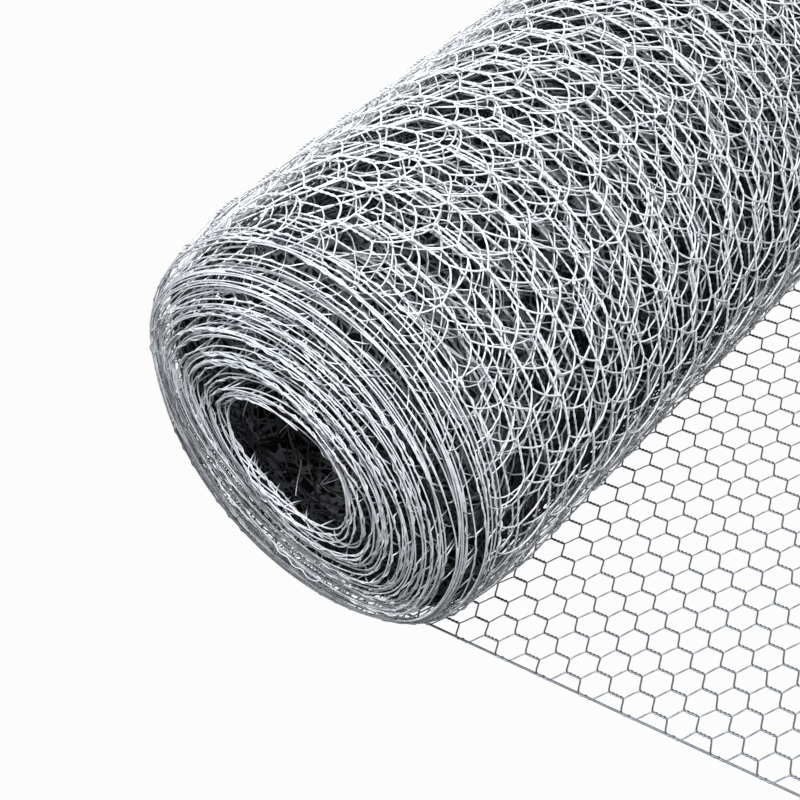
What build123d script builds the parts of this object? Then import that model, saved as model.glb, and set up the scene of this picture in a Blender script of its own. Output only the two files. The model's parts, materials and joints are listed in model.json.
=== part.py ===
"""Roll of hexagonal wire netting, part unrolled: the wound roll and its free end lying flat on the floor.

The roll lies on its side along Y, with the domed end at -Y. The free end runs out flat along +X.
Origin at the middle of the footprint, on the floor. Millimetres.
"""

import os
from math import hypot, sqrt

from build123d import *

# Netting
wire_diameter = 0.9
mesh_size = 25.4  # across a cell, from one twist to the next, over the sheet's width
cell_pitch = 37.4  # along the sheet, from one twist to the next in the same row
twist_length = 13.5
cells_across = 24
selvedge_diameter = 2.0  # edge wire with the netting wires wrapped on it
sheet_width = cells_across * mesh_size
sheet_thickness = 2 * wire_diameter  # a twist is two wires thick

# Wound roll
roll_radius = 171.5
bore_radius = 52.0
end_crown = 49.0  # the inner turns stand out past the sheet's edge at the domed end
edge_tuck = 12.0  # the outer turns' edge is drawn in by this much
turn_bands = 9  # the end shows its turns in bands with a groove between them
band_groove = 2.5

# Free end
tail_cells = 11
tail_lap = 15.0  # the sheet lies flat from this far behind the roll's lowest line, where the outer turn comes down
tail_gap = 0.1  # between the sheet and the roll that lies on it
tail_length = tail_cells * cell_pitch

# The frame: middle of the footprint, on the floor
roll_axis_x = (roll_radius + tail_lap - tail_length) / 2
roll_axis_z = sheet_thickness + tail_gap + roll_radius
sheet_middle_y = (end_crown - selvedge_diameter / 2) / 2
sheet_edge_y = sheet_middle_y - sheet_width / 2
roll_axis = Axis((roll_axis_x, 0, roll_axis_z), (0, 1, 0))

os.makedirs("parts", exist_ok=True)


def finish(part, name):
    """Name a finished piece and write its file."""
    part.label = name
    export_step(part, f"parts/{name}.step")


def crown_at(radius):
    """How far a turn stands out at the domed end: a quarter ellipse from the bore to the outer turn."""
    share = (radius - bore_radius) / (roll_radius - bore_radius)
    return (end_crown + edge_tuck) * sqrt(max(0, 1 - share**2)) - edge_tuck


# Wound roll: one turned body. Every turn is as wide as the next, so the dome at one end is a dish at the other.
turn_width = sheet_width - edge_tuck
band_width = (roll_radius - bore_radius) / turn_bands


def end_outline(groove):
    """Points of one end from the bore out, as (radius, stand-out): a peak in each band, a groove between bands."""
    points = [(bore_radius, crown_at(bore_radius))]
    for band in range(turn_bands):
        start = bore_radius + band * band_width
        if band > 0:
            points.append((start, crown_at(start) - groove))
        points.append((start + band_width / 2, crown_at(start + band_width / 2)))
    points.append((roll_radius, crown_at(roll_radius)))
    return points


domed_end = [(roll_axis_x + r, sheet_edge_y - out) for r, out in end_outline(band_groove)]
dished_end = [(roll_axis_x + r, sheet_edge_y + turn_width - out) for r, out in end_outline(-band_groove)]
with BuildPart() as wound_roll:
    with BuildSketch(Plane.XY.offset(roll_axis_z)):
        with BuildLine():
            Polyline(*domed_end, *reversed(dished_end), close=True)
        make_face()
    revolve(axis=roll_axis)
finish(wound_roll.part, "wound_roll")

# Free end: flat netting, in strips side by side over the sheet's width.
# The roll lies on it, and both its ends are cut through the middle of the twists in the edge row.
tail_start_x = roll_axis_x - tail_lap
tail_middle_x = tail_start_x + tail_length / 2
row_step = mesh_size / 2
leg_run = cell_pitch / 2 - twist_length  # along the sheet, over one slanting wire
leg_shift = wire_diameter / 2 * hypot(leg_run, row_step) / row_step  # half a slanting wire, measured along the sheet


def opening_half_length(height):
    """Half the clear length of a cell, at a height above its middle."""
    return (cell_pitch - twist_length) / 2 - leg_shift - leg_run * height / row_step


def cell_opening():
    """Corners of the clear opening of a cell, between the faces of its wires."""
    top = row_step - wire_diameter
    half_top = opening_half_length(top)
    half_middle = opening_half_length(0)
    right = [(half_top, -top), (half_middle, 0), (half_top, top)]
    return right + [(-x, -y) for x, y in right]


def cell_centres(first_row, last_row):
    """Middles of the cells whose opening reaches into the rows of a strip, odd rows half a pitch on."""
    for row in range(first_row, last_row + 1):
        for column in range(tail_cells + 1):
            stagger = cell_pitch / 2 * ((row + 1) % 2)
            yield tail_start_x + column * cell_pitch + stagger, sheet_edge_y + row * row_step


def mesh_strip(first_row, last_row, selvedge_rows):
    """Flat netting between two rows, cut half way along its slanting wires except at a selvedge."""
    low_y = sheet_edge_y + first_row * row_step
    high_y = sheet_edge_y + last_row * row_step
    with BuildPart() as strip:
        with BuildSketch():
            with Locations((tail_middle_x, (low_y + high_y) / 2)):
                Rectangle(tail_length, high_y - low_y)
            with Locations(*cell_centres(int(first_row), int(last_row) + 1)):
                Polygon(*cell_opening(), align=None, mode=Mode.SUBTRACT)
            for row in selvedge_rows:
                with Locations((tail_middle_x, sheet_edge_y + row * row_step)):
                    Rectangle(tail_length, selvedge_diameter)
        extrude(amount=sheet_thickness)
    return strip.part


rows_across = 2 * cells_across
first_cut = rows_across // 3 + 1 / 2
second_cut = 2 * rows_across // 3 + 1 / 2
finish(mesh_strip(0, first_cut, [0]), "tail_mesh_near")
finish(mesh_strip(first_cut, second_cut, []), "tail_mesh_middle")
finish(mesh_strip(second_cut, rows_across, [rows_across]), "tail_mesh_far")
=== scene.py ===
"""Looks of a roll of hexagonal wire netting: its turns and its flat tail, wire by wire.

All sizes are in metres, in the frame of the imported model. Angles are in radians, and round the roll they are
measured from its lowest line, up its left side.
"""

import json
import math

import bpy
import numpy as np
from mathutils import Matrix, Vector


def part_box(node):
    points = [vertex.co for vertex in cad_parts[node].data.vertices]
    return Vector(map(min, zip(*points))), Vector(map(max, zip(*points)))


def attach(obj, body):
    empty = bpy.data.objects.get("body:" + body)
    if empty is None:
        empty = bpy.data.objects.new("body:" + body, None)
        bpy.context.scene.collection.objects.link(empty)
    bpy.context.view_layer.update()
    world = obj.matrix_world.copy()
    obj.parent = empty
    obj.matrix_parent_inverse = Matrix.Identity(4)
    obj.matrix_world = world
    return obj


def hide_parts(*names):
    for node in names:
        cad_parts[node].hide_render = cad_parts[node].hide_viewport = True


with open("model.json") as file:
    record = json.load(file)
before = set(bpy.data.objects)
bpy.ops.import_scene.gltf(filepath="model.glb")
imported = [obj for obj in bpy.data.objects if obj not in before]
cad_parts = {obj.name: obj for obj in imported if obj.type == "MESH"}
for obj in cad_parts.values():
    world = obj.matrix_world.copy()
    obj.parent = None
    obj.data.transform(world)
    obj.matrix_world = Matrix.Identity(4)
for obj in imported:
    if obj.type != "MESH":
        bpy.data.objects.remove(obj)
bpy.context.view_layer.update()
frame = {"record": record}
scene = bpy.context.scene
rng = np.random.default_rng(11)
mm = 0.001
full_turn = 2 * math.pi
tiny = 1e-12

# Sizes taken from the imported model
bore = next(mount for mount in frame["record"]["mounts"] if mount["name"] == "bore")
bore_radius = bore["dims"]["r_mm"] * mm
axis_x = bore["pos_m"][0]
axis_z = bore["pos_m"][2]
roll_low, roll_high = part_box("wound_roll")
roll_radius = (roll_high.x - roll_low.x) / 2
near_low, near_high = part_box("tail_mesh_near")
far_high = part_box("tail_mesh_far")[1]
tail_start = near_low.x
tail_length = near_high.x - tail_start
sheet_top = near_high.z
selvedge_bar = 2.0 * mm
edge_y = near_low.y + selvedge_bar / 2
sheet_width = far_high.y - selvedge_bar / 2 - edge_y

# Winding: the inner turns stand out at the near end and stand back at the far end
turn_step = 2.39 * mm
turns = (roll_radius - bore_radius) / turn_step
roll_length = math.pi * (roll_radius**2 - bore_radius**2) / turn_step
end_crown = 49 * mm
edge_tuck = 12 * mm  # the outer turns are this much narrower than the flat sheet
end_lean = 14 * mm  # the end stands out below and back above
far_edge_y = edge_y + sheet_width - edge_tuck
lay_angle = 0.5  # past this angle the outer turn lies on the flat sheet
swing_angle = 1.9  # within this angle the edge goes over from the flat sheet's line to the wound end
middle_hold_share = 0.92  # the middle of the sheet follows the stand-out of its ends by this much less

# The turns are pressed to a lens shape with two blunt corners, and the outer ones are fuller on the left
corner_angles = (math.radians(117), math.radians(324))
lens_depth = 53.6 * mm
lens_bore_share = 0.28
lens_growth_share = 2.4
lens_corner_share = 0.15
lens_mean_share = 0.4
left_bulge = 2.0 * mm
bulge_end = 3.5
bulge_ease = 1.0

# The edges of the outer turns are drawn in towards the axis, and the innermost turns crowd at the bore
edge_reach = 60 * mm
edge_decay = 1.4
near_draw = 7 * mm
far_draw = 4 * mm
bore_crowd_share = 0.65
bore_crowd_start = 5 * mm
bore_crowd_reach = 14 * mm
outer_band_share = 0.15
settled_share = 0.75  # the outermost and the innermost turns lie this much more evenly than the others


def smooth(x):
    """Ease from 0 to 1 as x goes from 0 to 1."""
    x = np.clip(x, 0, 1)
    return x * x * (3 - 2 * x)


class Ripple:
    """Smooth random unevenness over the roll: a sum of waves over radius, angle and width.

    Its size is given for the inside of the sheet and for its edges.
    """

    def __init__(self, count, radial_lengths, most_lobes, axial_lengths, inside, at_edges):
        self.radial = full_turn / rng.uniform(*radial_lengths, count)
        self.lobes = rng.integers(0, most_lobes + 1, count)
        self.axial = full_turn / rng.uniform(*axial_lengths, count) * rng.choice([-1, 1], count)
        self.start = rng.uniform(0, full_turn, count)
        self.scale = math.sqrt(2 / count)
        self.inside = inside
        self.at_edges = at_edges

    def __call__(self, radius, angle, across, edge):
        total = 0
        for radial, lobes, axial, start in zip(self.radial, self.lobes, self.axial, self.start):
            total = total + np.cos(radial * radius + lobes * angle + axial * across + start)
        return total * self.scale * (self.inside + (self.at_edges - self.inside) * edge)


bunching = Ripple(14, (5 * mm, 13 * mm), 2, (0.25, 0.6), inside=0.35 * mm, at_edges=1.35 * mm)
gathers = Ripple(10, (15 * mm, 30 * mm), 3, (0.25, 0.6), inside=0.4 * mm, at_edges=2.1 * mm)
loose_lay = Ripple(12, (5 * mm, 9 * mm), 16, (0.08, 0.2), inside=0.35 * mm, at_edges=0.25 * mm)
side_drift = Ripple(8, (7 * mm, 18 * mm), 5, (0.3, 0.9), inside=0.7 * mm, at_edges=2.2 * mm)


def radius_share(radius):
    """0 at the bore, 1 at the outer turn."""
    return (radius - bore_radius) / (roll_radius - bore_radius)


def crown_at(radius):
    """How far the edge of a turn stands out at the near end."""
    share = np.clip(radius_share(radius), 0, 1)
    return (end_crown + edge_tuck) * np.sqrt(1 - share**2) - edge_tuck


def lens_radius(radius, angle):
    """Radius of a turn at an angle, pressed from a circle to a lens shape."""
    share = radius_share(radius)
    depth = lens_depth * (lens_bore_share + lens_growth_share * share) * np.clip(1 - share, 0, 1)
    first, second = corner_angles
    around = np.mod(angle - first, full_turn)
    warped = np.interp(around, [0, second - first, full_turn], [0, math.pi, full_turn])
    blunt = np.hypot(np.sin(warped), lens_corner_share) / math.hypot(1, lens_corner_share)
    return radius + depth * (1 - blunt - lens_mean_share)


def wound_place(wound, across, lift, thickness):
    """Points of the wound sheet in space, with the sheet's outward direction there.

    wound is the length from the roll's lowest line back round the roll, across the distance from the near
    edge, and lift a distance outwards. thickness keeps a wire of that radius off the floor.
    """
    wound, across, lift = np.broadcast_arrays(wound, across, lift)
    nominal = np.sqrt(roll_radius**2 - turn_step * wound / math.pi)
    angle = (roll_radius - nominal) * full_turn / turn_step
    share = radius_share(nominal)
    free = smooth(angle / math.pi)
    near = across / edge_reach
    far = (sheet_width - across) / edge_reach
    edge = np.exp(-np.minimum(near, far) * edge_decay)
    drawn_in = near_draw * np.clip(1 - near, 0, 1) ** 2 + far_draw * np.clip(1 - far, 0, 1) ** 2
    uneven = bunching(nominal, angle, across, edge)
    uneven = uneven + gathers(nominal, angle, across, edge)
    uneven = uneven + loose_lay(nominal, angle, across, edge)
    past_bore = nominal - bore_radius
    outermost = smooth((share - 1) / outer_band_share + 1)
    innermost = 1 - smooth(past_bore / bore_crowd_reach)
    held = (1 - settled_share * outermost) * (1 - settled_share * innermost)
    crowded = bore_crowd_share * past_bore * (1 - smooth((past_bore - bore_crowd_start) / bore_crowd_reach))
    around = np.mod(angle, full_turn)
    fuller = left_bulge * share**2 * smooth(around / bulge_ease) * smooth((bulge_end - around) / bulge_ease)
    radius = lens_radius(nominal, angle) - crowded + fuller + lift
    radius = radius + free * (uneven * held - drawn_in * share**3)
    middle = smooth(near / 2) * smooth(far / 2)
    stand_out = crown_at(nominal - near_draw * share**3) + end_lean * share**2 * np.cos(angle)
    drift = stand_out * (1 - middle_hold_share * middle) + edge_tuck * across / sheet_width
    drift = drift * smooth(angle / swing_angle) + side_drift(nominal, angle, across, edge) * free
    x = axis_x - radius * np.sin(angle)
    y = edge_y + across - drift
    z = axis_z - radius * np.cos(angle)
    lowest = sheet_top * smooth(angle / lay_angle) + thickness
    outward = np.stack([-np.sin(angle), np.zeros_like(angle), -np.cos(angle)], -1)
    return np.stack([x, y, np.maximum(z, lowest)], -1), outward


def flat_place(along, across, lift, thickness):
    """Points of the flat sheet in space, along from where it comes out of the roll."""
    along, across, lift = np.broadcast_arrays(along, across, lift)
    z = np.maximum(sheet_top / 2 + lift, thickness)
    outward = np.broadcast_to(np.array([0.0, 0.0, 1.0]), (*along.shape, 3))
    return np.stack([tail_start + along, edge_y + across, z], -1), outward


def bars(points, outward, radius, sides):
    """Vertices and faces of round bars that follow rows of points."""
    count, length, _ = points.shape
    along = np.gradient(points, axis=1)
    along /= np.linalg.norm(along, axis=-1, keepdims=True) + tiny
    first = outward - (outward * along).sum(-1, keepdims=True) * along
    first /= np.linalg.norm(first, axis=-1, keepdims=True) + tiny
    second = np.cross(along, first)
    turn = np.arange(sides) * full_turn / sides
    ring = np.cos(turn)[:, None] * first[:, :, None] + np.sin(turn)[:, None] * second[:, :, None]
    radius = np.broadcast_to(radius, (count, length))[:, :, None, None]
    vertices = points[:, :, None] + radius * ring
    index = np.arange(count * length * sides).reshape(count, length, sides)
    after = np.roll(index, -1, axis=2)
    quads = np.stack([index[:, :-1], after[:, :-1], after[:, 1:], index[:, 1:]], -1).reshape(-1, 4)
    caps = np.concatenate([index[:, 0, ::-1], index[:, -1]])
    return vertices.reshape(-1, 3), quads, caps


def mesh_piece(name, parts, finish):
    """One object from several lots of vertices and faces, riding on the part."""
    vertices = []
    corners = []
    sizes = []
    offset = 0
    for points, *lots in parts:
        vertices.append(points)
        for faces in lots:
            corners.append(faces.ravel() + offset)
            sizes.append(np.full(len(faces), faces.shape[1]))
        offset += len(points)
    vertices = np.concatenate(vertices).astype(np.float32)
    corners = np.concatenate(corners).astype(np.int32)
    sizes = np.concatenate(sizes).astype(np.int32)
    starts = np.cumsum(sizes) - sizes
    mesh = bpy.data.meshes.new(name)
    mesh.vertices.add(len(vertices))
    mesh.vertices.foreach_set("co", vertices.ravel())
    mesh.loops.add(len(corners))
    mesh.loops.foreach_set("vertex_index", corners)
    mesh.polygons.add(len(sizes))
    mesh.polygons.foreach_set("loop_start", starts.astype(np.int32))
    mesh.update(calc_edges=True)
    mesh.shade_smooth()
    mesh.materials.append(finish)
    piece = bpy.data.objects.new(name, mesh)
    scene.collection.objects.link(piece)
    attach(piece, "root")
    return piece


class Netting:
    """A stretch of hexagonal netting on a sheet: where its twists lie, and the wires that run through them.

    Twists lie in rows along the sheet and in columns across it, half a pitch apart. slack scales all that is
    uneven in the netting.
    """

    # Scatter of the twists, which grows over some columns, and is smaller on the two selvedges
    scatter_along = 1.6 * mm
    scatter_across = 1.1 * mm
    scatter_out = 0.45 * mm
    scatter_lean = 0.045
    scatter_growth = 1.3
    growth_start = 20
    growth_columns = 40
    selvedge_scatter_share = 0.25

    # Slow drift from column to column, which leaves the rows by the selvedges in place across the sheet
    drift_along = 6 * mm
    drift_along_start = 30
    drift_across = 3 * mm
    drift_across_start = 60
    drift_window = 7
    still_rows = 5
    aside_columns = 6

    # Slanting wires and wrapped wires
    leg_scatter_along = 0.7 * mm
    leg_scatter_out = 0.5 * mm
    leg_ease_share = 0.3
    selvedge_wrap_share = 0.4
    thinning_reach = 50 * mm

    def __init__(
        self,
        place,
        rows,
        pitch,
        length,
        twist_length,
        twist_turns,
        edge_hold,
        edge_turns,
        wire_radius,
        selvedge_radius,
        slack,
        wrap_share=1.0,
        strand_share=1.0,
        edge_thinning_share=0.0,
        aside_start=None,
    ):
        """Set out the twists.

        wrap_share and strand_share make the twists slimmer, and edge_thinning_share the wires by the edges.
        From the column aside_start on, the netting lies half a row aside.
        """
        self.place = place
        self.rows = rows
        self.pitch = pitch
        self.row_step = sheet_width / rows
        self.twist_length = twist_length
        self.twist_turns = twist_turns
        self.edge_hold = edge_hold
        self.edge_turns = edge_turns
        self.wire_radius = wire_radius
        self.selvedge_radius = selvedge_radius
        self.slack = slack
        self.wrap_share = wrap_share
        self.strand_share = strand_share
        self.edge_thinning_share = edge_thinning_share
        self.last_column = int(round(length / (pitch / 2)))
        column = np.arange(self.last_column + 2)[:, None]
        row = np.arange(rows + 1)
        shape = (len(column), len(row))
        edge = np.ones(rows + 1)
        edge[[0, rows]] = self.selvedge_scatter_share
        inner = smooth(row / self.still_rows) * smooth((rows - row) / self.still_rows)
        growth = 1 + self.scatter_growth * smooth((column - self.growth_start) / self.growth_columns)
        self.shift_along = rng.normal(0, 1, shape) * growth * self.scatter_along * slack
        self.shift_along += self.drift(self.drift_along_start, self.drift_along)
        self.shift_across = rng.normal(0, 1, shape) * growth * self.scatter_across * slack * edge
        self.shift_across += self.drift(self.drift_across_start, self.drift_across) * inner
        if aside_start is not None:
            aside = self.row_step / 2 * smooth((column - aside_start) / self.aside_columns)
            self.shift_across += aside * inner
        self.shift_out = rng.normal(0, 1, shape) * self.scatter_out * slack * edge
        self.lean = rng.normal(0, 1, shape) * self.scatter_lean * slack * edge

    def drift(self, first, step):
        """A slow random drift from column to column, beginning at the first column given."""
        steps = rng.normal(0, step * self.slack, self.last_column + 2)
        steps[:first] = 0
        window = np.ones(self.drift_window) / self.drift_window
        return np.convolve(np.cumsum(steps), window, "same")[:, None]

    def wires(self, start, end, wires, twist_points, leg_points, sides, sag=0.0, cut=False):
        """Wires between two columns, each zigzagging between two rows and twisted with its neighbours.

        sag bows the slanting wires along the sheet. A cut goes through the middle of the twists at both ends.
        """
        column = np.arange(start, end + 1)
        wire = np.asarray(wires)[:, None]
        own = (wire - column) % 2 == 0
        row = np.where(own, wire, wire + 1)
        side = np.where(own, 1.0, -1.0)[..., None]
        at = np.broadcast_to(column, row.shape)
        along = (at * self.pitch / 2 + self.shift_along[at, row])[..., None]
        across = (row * self.row_step + self.shift_across[at, row])[..., None]
        out = self.shift_out[at, row][..., None]
        lean = self.lean[at, row][..., None]

        # Twists: two wires wound about each other, or one wire round the selvedge
        at_selvedge = ((row == 0) | (row == self.rows))[..., None]
        selvedge_wrap = self.selvedge_radius + self.selvedge_wrap_share * self.wire_radius
        wrap = np.where(at_selvedge, selvedge_wrap, self.wrap_share * self.wire_radius)
        held_length = np.where(at_selvedge, self.edge_hold, self.twist_length)
        step = np.linspace(-0.5, 0.5, twist_points)
        turn = full_turn * np.where(at_selvedge, self.edge_turns, self.twist_turns) * (step + 0.5)
        twist_along = along + step * held_length
        twist_across = across + lean * step * held_length + side * wrap * np.cos(turn)
        twist_out = out + side * wrap * np.sin(turn)
        strand = np.broadcast_to(np.where(at_selvedge, 1.0, self.strand_share), twist_along.shape)

        # Legs: the slanting wires from one twist to the next
        share = np.arange(1, leg_points + 1) / (leg_points + 1)
        eased = share + self.leg_ease_share * (smooth(share) - share)
        loose = rng.normal(0, 1, (len(wire), len(column) - 1, 1)) * self.slack
        bulge = np.sin(math.pi * share)

        def leg(values, ease):
            begin = values[:, :-1, -1:]
            finish = values[:, 1:, :1]
            return begin + (finish - begin) * ease

        leg_along = leg(twist_along, share) + (sag + loose * self.leg_scatter_along) * bulge
        leg_across = leg(twist_across, eased)
        leg_out = leg(twist_out, share) + np.abs(loose) * self.leg_scatter_out * bulge
        trimmed = twist_points // 2 if cut else 0

        def whole(twists, legs):
            """Twists and legs in turn, as one row of points for each wire."""
            run = np.concatenate([twists[:, :-1], legs], -1).reshape(len(wire), -1)
            run = np.concatenate([run, twists[:, -1]], -1)
            return run[:, trimmed : run.shape[1] - trimmed]

        run_along = whole(twist_along, leg_along)
        run_across = whole(twist_across, leg_across)
        run_out = whole(twist_out, leg_out)
        points, outward = self.place(run_along, run_across, run_out, self.wire_radius)
        from_edge = np.minimum(run_across, sheet_width - run_across)
        thinned = 1 - self.edge_thinning_share * (1 - smooth(from_edge / self.thinning_reach))
        thinned = thinned * whole(strand, np.ones_like(leg_along))
        return bars(points, outward, self.wire_radius * thinned, sides)

    def selvedge(self, start, end, row, step, sides):
        """The edge wire of the sheet between two columns."""
        count = int((end - start) * self.pitch / 2 / step) + 2
        columns = np.linspace(start, end, count)
        known = np.arange(len(self.shift_out))
        along = columns * self.pitch / 2
        across = row * self.row_step + np.interp(columns, known, self.shift_across[:, row])
        out = np.interp(columns, known, self.shift_out[:, row])
        points, outward = self.place(along[None], across[None], out[None], self.selvedge_radius)
        return bars(points, outward, self.selvedge_radius, sides)


class Value:
    """A number or colour that changes over a surface, for sums in plain Python."""

    def __init__(self, finish, socket):
        self.finish = finish
        self.socket = socket

    def maths(self, operation, *values):
        """One sum as a node."""
        sockets = dict(enumerate(values))
        return self.finish.value("ShaderNodeMath", {"operation": operation}, sockets, 0)

    def __add__(self, other):
        return self.maths("ADD", self, other)

    def __radd__(self, other):
        return self.maths("ADD", other, self)

    def __sub__(self, other):
        return self.maths("SUBTRACT", self, other)

    def __rsub__(self, other):
        return self.maths("SUBTRACT", other, self)

    def __mul__(self, other):
        return self.maths("MULTIPLY", self, other)

    def __rmul__(self, other):
        return self.maths("MULTIPLY", other, self)

    def root(self):
        return self.maths("SQRT", self)

    def larger(self, other):
        return self.maths("MAXIMUM", self, other)

    def smaller(self, other):
        return self.maths("MINIMUM", self, other)

    def fade(self, start, end):
        """1 up to start, easing down to 0 at end."""
        settings = {"interpolation_type": "SMOOTHSTEP"}
        sockets = {"Value": self, "From Min": start, "From Max": end, "To Min": 1.0, "To Max": 0.0}
        return self.finish.value("ShaderNodeMapRange", settings, sockets, 0)


class Finish:
    """The nodes of one material or of the studio's surroundings."""

    def __init__(self, owner):
        owner.use_nodes = True
        self.owner = owner
        self.tree = owner.node_tree

    def node(self, kind, settings, sockets):
        """A new node, with its settings made first and then its sockets fed."""
        made = self.tree.nodes.new(kind)
        for name, value in settings.items():
            setattr(made, name, value)
        for name, value in sockets.items():
            self.feed(made.inputs[name], value)
        return made

    def feed(self, socket, value):
        """Link a value to a socket, or set a plain number or colour on it."""
        if isinstance(value, Value):
            self.tree.links.new(value.socket, socket)
        else:
            socket.default_value = value

    def value(self, kind, settings, sockets, output):
        """One output of a new node."""
        return Value(self, self.node(kind, settings, sockets).outputs[output])

    def surface(self, shader, sockets):
        """Set or feed sockets of a shader that is there from the start."""
        for name, value in sockets.items():
            self.feed(self.tree.nodes[shader].inputs[name], value)

    def place(self):
        """The place on the object, in its own frame."""
        return self.value("ShaderNodeTexCoord", {}, {}, "Object")

    def noise(self, where, scale, detail):
        """Cloudy random values about 0.5."""
        sockets = {"Vector": where, "Scale": scale, "Detail": detail}
        return self.value("ShaderNodeTexNoise", {}, sockets, "Fac")

    def blend(self, factor, first, second):
        """From the first colour to the second as the factor goes from 0 to 1."""
        settings = {"data_type": "RGBA", "clamp_factor": True}
        return self.value("ShaderNodeMix", settings, {"Factor": factor, 6: first, 7: second}, 2)

    def bump(self, height, strength, distance):
        """The surface's direction, roughened by a height from 0 to 1."""
        sockets = {"Height": height, "Strength": strength, "Distance": distance}
        return self.value("ShaderNodeBump", {}, sockets, "Normal")

    def seen(self):
        """1 for what the eye, a shine or glass sees, 0 for light that is passed on."""
        path = self.node("ShaderNodeLightPath", {}, {})
        rays = ("Is Camera Ray", "Is Glossy Ray", "Is Transmission Ray")
        eye, shine, glass = (Value(self, path.outputs[ray]) for ray in rays)
        return eye.larger(shine).larger(glass)


def rgba(red, green, blue):
    """An opaque colour."""
    return (red, green, blue, 1)


# Painted shade between the turns, by place on the roll. It starts at a smaller depth on the sides the lamp
# only grazes and on the lower part of the ends, and eases on the side turned fully away. Depths are from open
# to dark.
lamp_side = 0.664  # the lamp's direction, square to the roll's axis
lamp_height = 0.748
face_depths = (15 * mm, 62 * mm)
end_depths = (9 * mm, 44 * mm)
shaded_places = (10 * mm, 135 * mm)  # towards the lamp, from the roll's axis
hidden_places = (-110 * mm, -15 * mm)
low_places = (-30 * mm, 110 * mm)  # above the roll's axis
face_shade = 3.0
end_shade = 2.6
hidden_relief_share = 0.75
# the colour of the painted shade deep between the turns
painted_gap_shade = rgba(0.012, 0.013, 0.015)


def painted_lit_share(finish, where):
    """1 on the outer turns and at the ends of the roll, fading to 0 deep between the turns: how much painted
    shade is left off.
    """
    parts = finish.node("ShaderNodeSeparateXYZ", {}, {"Vector": where})
    x, y, z = (Value(finish, parts.outputs[k]) for k in range(3))
    side = x - axis_x
    height = z - axis_z
    radius = (side * side + height * height).root()
    share = ((radius - bore_radius) * (1 / (roll_radius - bore_radius))).larger(0.0).smaller(1.0)
    crown = (1 - share * share).root() * (end_crown + edge_tuck) - edge_tuck
    stand_out = crown - height * share * share * (end_lean / roll_radius)
    behind_near = y - edge_y + stand_out
    behind_far = far_edge_y - stand_out - y
    toward_lamp = side * lamp_side + height * lamp_height
    turned_away = toward_lamp.fade(*shaded_places) - toward_lamp.fade(*hidden_places) * hidden_relief_share
    below_face = (roll_radius - radius) * (turned_away * face_shade + 1.0)
    behind_end = behind_near.smaller(behind_far) * (height.fade(*low_places) * end_shade + 1.0)
    return below_face.fade(*face_depths).larger(behind_end.fade(*end_depths))


# Zinc: grain of its mottling, clouds and lumps, and how much of each goes into its tone
mottle_scale = 160.0
cloud_scale = 22.0
lump_scale = 900.0
mottle_weight = 1.5
cloud_weight = 0.8
tone_shift = 0.65
roughness_range = 0.2
lump_strength = 0.25
lump_height = 0.2 * mm


def zinc(name, dark, bright, roughness, metallic, gloss, with_painted_shade=False):
    """Hot-dip zinc on wire: mottled between two tones, with dull patches and a slightly lumpy skin.

    If asked, painted shade darkens it to near black deep between the turns of the roll.
    """
    finish = Finish(bpy.data.materials.new(name))
    where = finish.place()
    mottle = finish.noise(where, mottle_scale, 3.0)
    cloud = finish.noise(where, cloud_scale, 2.0)
    lumps = finish.noise(where, lump_scale, 2.0)
    tone = mottle * mottle_weight + cloud * cloud_weight - tone_shift
    colour = finish.blend(tone, dark, bright)
    # Painted shade: deep between the turns, the colour goes over to near black
    if with_painted_shade:
        colour = finish.blend(painted_lit_share(finish, where), painted_gap_shade, colour)
    finish.surface(
        "Principled BSDF",
        {
            "Base Color": colour,
            "Roughness": roughness - roughness_range / 2 + mottle * roughness_range,
            "Metallic": metallic,
            "Specular IOR Level": gloss,
            "Normal": finish.bump(lumps, lump_strength, lump_height),
        },
    )
    return finish.owner


# The wound turns and their edges get the painted shade between the turns
wound_zinc = zinc(
    "wound_zinc",
    dark=rgba(0.55, 0.585, 0.625),
    bright=rgba(0.91, 0.94, 0.97),
    roughness=0.42,
    metallic=0.05,
    gloss=0.15,
    with_painted_shade=True,
)
edge_zinc = zinc(
    "edge_zinc",
    dark=rgba(0.46, 0.495, 0.535),
    bright=rgba(0.82, 0.85, 0.89),
    roughness=0.42,
    metallic=0.05,
    gloss=0.15,
    with_painted_shade=True,
)
# A dark copy of the zinc for the wires in the bore: painted shade
bore_shaded_zinc = zinc(
    "bore_shaded_zinc",
    dark=rgba(0.04, 0.042, 0.045),
    bright=rgba(0.22, 0.225, 0.23),
    roughness=0.5,
    metallic=0.3,
    gloss=0.3,
)
strand_zinc = zinc(
    "strand_zinc",
    dark=rgba(0.35, 0.37, 0.40),
    bright=rgba(0.65, 0.66, 0.68),
    roughness=0.4,
    metallic=0.2,
    gloss=0.4,
)
# A darker copy of the zinc for the flat tail: painted shade, with a strong shine of the white surroundings
flat_shaded_zinc = zinc(
    "flat_shaded_zinc",
    dark=rgba(0.13, 0.145, 0.165),
    bright=rgba(0.23, 0.25, 0.28),
    roughness=0.45,
    metallic=0.9,
    gloss=0.5,
)

# The turns too deep to make wire by wire: crossing lines of three sizes of cell, dark with painted shade
packed_scales = (38.0, 57.0, 83.0)
line_core = 0.4 * mm
line_edge = 1.3 * mm
line_bump_strength = 0.6
line_bump_height = 2 * mm


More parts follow.
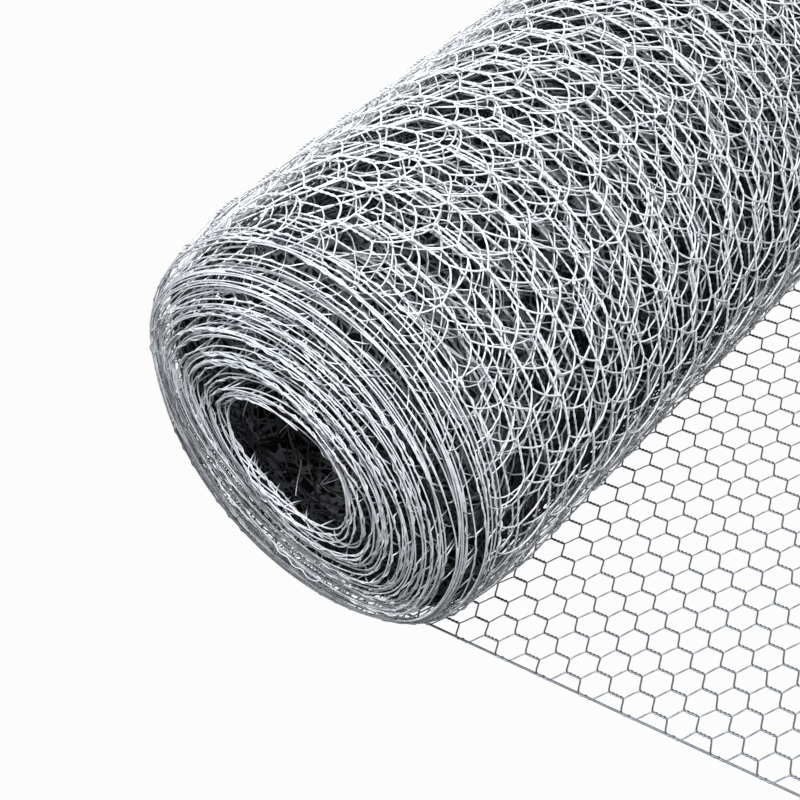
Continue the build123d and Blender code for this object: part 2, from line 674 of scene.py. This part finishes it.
def packed_wires(name):
    """Thin zinc lines of crossing cells on a near-black ground: painted shade for the turns deep in the roll.
    """
    finish = Finish(bpy.data.materials.new(name))
    where = finish.place()
    settings = {"feature": "DISTANCE_TO_EDGE"}
    lines = 0.0
    for scale in packed_scales:
        cells = finish.value("ShaderNodeTexVoronoi", settings, {"Vector": where, "Scale": scale}, "Distance")
        lines = cells.fade(line_core * scale, line_edge * scale).larger(lines)
    finish.surface(
        "Principled BSDF",
        {
            "Base Color": finish.blend(lines, rgba(0.006, 0.006, 0.007), rgba(0.1, 0.106, 0.115)),
            "Roughness": 0.8,
            "Specular IOR Level": 0.0,
            "Normal": finish.bump(lines, line_bump_strength, line_bump_height),
        },
    )
    return finish.owner


packed_shade_zinc = packed_wires("packed_shade_zinc")

# The flat tail, with its edge wires, in a darker copy of the zinc as painted shade
tail_cells = 11
flat_net = Netting(
    flat_place,
    rows=48,
    pitch=tail_length / tail_cells,
    length=tail_length,
    twist_length=13.5 * mm,
    twist_turns=2,
    edge_hold=13.5 * mm,
    edge_turns=2,
    wire_radius=0.7 * mm,
    selvedge_radius=0.95 * mm,
    slack=0.16,
)
tail_columns = flat_net.last_column
flat_wires = range(flat_net.rows)
tail_wires = flat_net.wires(0, tail_columns, flat_wires, twist_points=11, leg_points=2, sides=4, cut=True)
tail = mesh_piece("tail_netting", [tail_wires], flat_shaded_zinc)
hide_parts("tail_mesh_near", "tail_mesh_middle", "tail_mesh_far")
tail_edges = [flat_net.selvedge(0, tail_columns, row, step=4 * mm, sides=8) for row in (0, flat_net.rows)]
mesh_piece("tail_selvedges", tail_edges, flat_shaded_zinc)

# The wound turns, with the third turn and those below it half a row aside
wound_net = Netting(
    wound_place,
    rows=26,
    pitch=103.3 * mm,
    length=roll_length,
    twist_length=33 * mm,
    twist_turns=3,
    edge_hold=46 * mm,
    edge_turns=3,
    wire_radius=0.83 * mm,
    selvedge_radius=0.6 * mm,
    slack=1.0,
    wrap_share=0.64,
    strand_share=0.78,
    edge_thinning_share=0.3,
    aside_start=38,
)
leg_sag = 2.8 * mm


def column_at(turn):
    """The column of the wound sheet where a number of turns from the outside are done."""
    angle = turn * full_turn
    wound = roll_radius * angle - turn_step * angle**2 / (2 * full_turn)
    return min(int(round(wound / (wound_net.pitch / 2))), wound_net.last_column)


def wound_wires(first_turn, last_turn, wires, twist_points, leg_points, sides):
    """Wires of the wound sheet from one turn to another, counted from the outside."""
    start = column_at(first_turn)
    end = column_at(last_turn)
    return wound_net.wires(start, end, wires, twist_points, leg_points, sides, sag=leg_sag)


visible_turns = 17
every_wire = range(wound_net.rows)
outer_wires = wound_wires(0, 1, every_wire, twist_points=19, leg_points=5, sides=5)
outer_turn = mesh_piece("outer_turn", [outer_wires], wound_zinc)
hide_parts("wound_roll")
for name, first_turn, last_turn, twist_points, leg_points, sides in (
    ("turns_below", 1, 3, 13, 3, 4),
    ("middle_turns", 3, 8, 7, 2, 3),
    ("deep_turns", 8, visible_turns, 4, 2, 3),
):
    lot = wound_wires(first_turn, last_turn, every_wire, twist_points, leg_points, sides)
    mesh_piece(name, [lot], wound_zinc)

# The edges of all turns, which make the ends of the roll
inner_turn = turns - 0.5
inner_column = column_at(inner_turn)
far_row = wound_net.rows
mesh_piece("near_selvedge", [wound_net.selvedge(0, inner_column, 0, step=5 * mm, sides=5)], edge_zinc)
near_wires = wound_wires(visible_turns, inner_turn, [0, 1], twist_points=15, leg_points=3, sides=4)
mesh_piece("near_edges", [near_wires], edge_zinc)
far_selvedge = wound_net.selvedge(0, inner_column, far_row, step=10 * mm, sides=4)
far_pair = [far_row - 2, far_row - 1]
far_wires = wound_wires(visible_turns, inner_turn, far_pair, twist_points=5, leg_points=2, sides=3)
mesh_piece("far_edges", [far_selvedge, far_wires], wound_zinc)

# The innermost turns, seen in the bore, in a dark copy of the zinc as painted shade
bore_rows = range(2, far_row - 2)
bore_wires = wound_wires(turns - 3, inner_turn, bore_rows, twist_points=7, leg_points=2, sides=4)
mesh_piece("bore_turns", [bore_wires], bore_shaded_zinc)

# The closely packed turns behind the visible wires, as one turned body that flares at both ends, dark with
# painted shade
packed_inner = bore_radius + 2.2 * turn_step
packed_outer = roll_radius - (visible_turns + 0.5) * turn_step
packed_near_rim = roll_radius - 8.5 * turn_step
packed_far_rim = roll_radius - 5.5 * turn_step
packed_near_inset = 22 * mm
packed_far_inset = 7 * mm
packed_flare = 90 * mm
packed_steps = 26
packed_sides = 160


def packed_body():
    """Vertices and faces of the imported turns."""
    near_radius = np.linspace(packed_inner, packed_near_rim, packed_steps)
    far_radius = np.linspace(packed_far_rim, packed_inner, packed_steps)
    near_y = np.full(packed_steps, edge_y + packed_near_inset)
    far_y = np.full(packed_steps, far_edge_y - packed_far_inset)
    waist_y = [edge_y + packed_flare, far_edge_y - packed_flare]
    profile = np.concatenate([near_radius, [packed_outer, packed_outer], far_radius])[:, None]
    profile_y = np.concatenate([near_y, waist_y, far_y])[:, None]
    angle = (np.arange(packed_sides) * full_turn / packed_sides)[None]
    radius = lens_radius(profile, angle)
    x = axis_x - radius * np.sin(angle)
    y = profile_y - crown_at(profile) - end_lean * radius_share(profile) ** 2 * np.cos(angle)
    z = axis_z - radius * np.cos(angle)
    index = np.arange(x.size).reshape(x.shape)
    below = np.roll(index, -1, axis=0)
    quads = np.stack([index, np.roll(index, -1, axis=1), np.roll(below, -1, axis=1), below], -1)
    return np.stack([x, y, z], -1).reshape(-1, 3), quads.reshape(-1, 4)


mesh_piece("packed_turns", [packed_body()], packed_shade_zinc)

# Loose ends of wire in the bore
strand_count = 18
strand_points = 14
strand_radius = 0.4 * mm
strand_bend_share = 0.8
strand_bend_power = 1.5


def stray_strand(angle, mouth_depth, length, lean, reach):
    """A loose wire that leaves the bore's wall and bends back."""
    step = np.linspace(0, 1, strand_points)
    around = angle + lean * step
    wall = lens_radius(bore_radius + turn_step, around)
    radius = wall - reach * np.sin(step * math.pi * strand_bend_share) ** strand_bend_power
    y = edge_y - crown_at(bore_radius) + mouth_depth + length * step
    points = np.stack([axis_x - radius * np.sin(around), y, axis_z - radius * np.cos(around)], -1)
    outward = np.stack([-np.sin(around), np.zeros_like(around), -np.cos(around)], -1)
    return bars(points[None], outward[None], strand_radius, sides=5)


strands = []
for _ in range(strand_count):
    angle = rng.uniform(0, full_turn)
    depth = rng.uniform(4, 60) * mm
    length = rng.uniform(12, 60) * mm
    lean = rng.normal(0, 0.45)
    reach = rng.uniform(3, 14) * mm
    strands.append(stray_strand(angle, depth, length, lean, reach))
mesh_piece("stray_strands", strands, strand_zinc)

# Camera: placed where the photograph was taken from
azimuth = math.radians(43.99)
elevation = math.radians(37.93)
tilt = math.radians(-9.29)
camera_place = (axis_x + 862.03 * mm, edge_y - 817.10 * mm, sheet_top / 2 + 1109.0 * mm)
focal_pixels = 2063
picture_pixels = 800
sensor_width = 36
level = math.cos(elevation)
back = Vector((math.sin(azimuth) * level, -math.cos(azimuth) * level, math.sin(elevation)))
level_right = Vector((math.cos(azimuth), math.sin(azimuth), 0))
level_up = back.cross(level_right)
right = math.cos(tilt) * level_right + math.sin(tilt) * level_up
up = math.cos(tilt) * level_up - math.sin(tilt) * level_right
lens = bpy.data.cameras.new("camera")
lens.lens = focal_pixels / picture_pixels * sensor_width
lens.clip_start = 0.05
lens.clip_end = 50
camera = bpy.data.objects.new("camera", lens)
scene.collection.objects.link(camera)
turned = Matrix((right, up, back)).transposed().to_4x4()
camera.matrix_world = Matrix.Translation(camera_place) @ turned
scene.camera = camera


def softbox(name, place, aim, size, power):
    """A square soft lamp aimed at a point."""
    lamp = bpy.data.lights.new(name, "AREA")
    lamp.shape = "RECTANGLE"
    lamp.size = size
    lamp.size_y = size
    lamp.energy = power
    holder = bpy.data.objects.new(name, lamp)
    scene.collection.objects.link(holder)
    holder.location = place
    holder.rotation_euler = (Vector(aim) - Vector(place)).to_track_quat("-Z", "Y").to_euler()


softbox("key_softbox", (0.8, -0.75, 2.15), aim=(axis_x, 0, 0.17), size=0.4, power=73)
softbox("fill_softbox", (-0.9, -1.7, 1.5), aim=(axis_x, 0, 0.15), size=0.6, power=14)
softbox("back_softbox", (-1.3, 1.6, 0.9), aim=(axis_x, 0.1, 0.15), size=0.8, power=32)

# Surroundings: white to the eye, and a softer light on the object
surround_light = 0.05
studio = Finish(bpy.data.worlds.new("studio"))
scene.world = studio.owner
surround = studio.seen() * (1 - surround_light) + surround_light
studio.surface("Background", {"Color": rgba(1, 1, 1), "Strength": surround})

# Floor: pale, seen almost white, with a soft trace of the roll's shadow
floor_reach = 6
floor_drop = 0.2 * mm
floor_white_share = 0.97
floor_corners = [(x * floor_reach, y * floor_reach, 0) for x, y in ((-1, -1), (1, -1), (1, 1), (-1, 1))]
floor_mesh = bpy.data.meshes.new("floor")
floor_mesh.from_pydata(floor_corners, [], [(0, 1, 2, 3)])
floor = bpy.data.objects.new("floor", floor_mesh)
scene.collection.objects.link(floor)
floor.location.z = -floor_drop
pale = Finish(bpy.data.materials.new("pale_floor"))
pale.surface("Principled BSDF", {"Base Color": rgba(0.1, 0.1, 0.1), "Roughness": 0.9})
glow = pale.value("ShaderNodeEmission", {}, {"Color": rgba(1, 1, 1), "Strength": 1.0}, 0)
matt = Value(pale, pale.tree.nodes["Principled BSDF"].outputs[0])
white = pale.seen() * floor_white_share
shown = pale.value("ShaderNodeMixShader", {}, {0: white, 1: matt, 2: glow}, 0)
pale.surface("Material Output", {"Surface": shown})
floor_mesh.materials.append(pale.owner)

scene.view_settings.view_transform = "Standard"
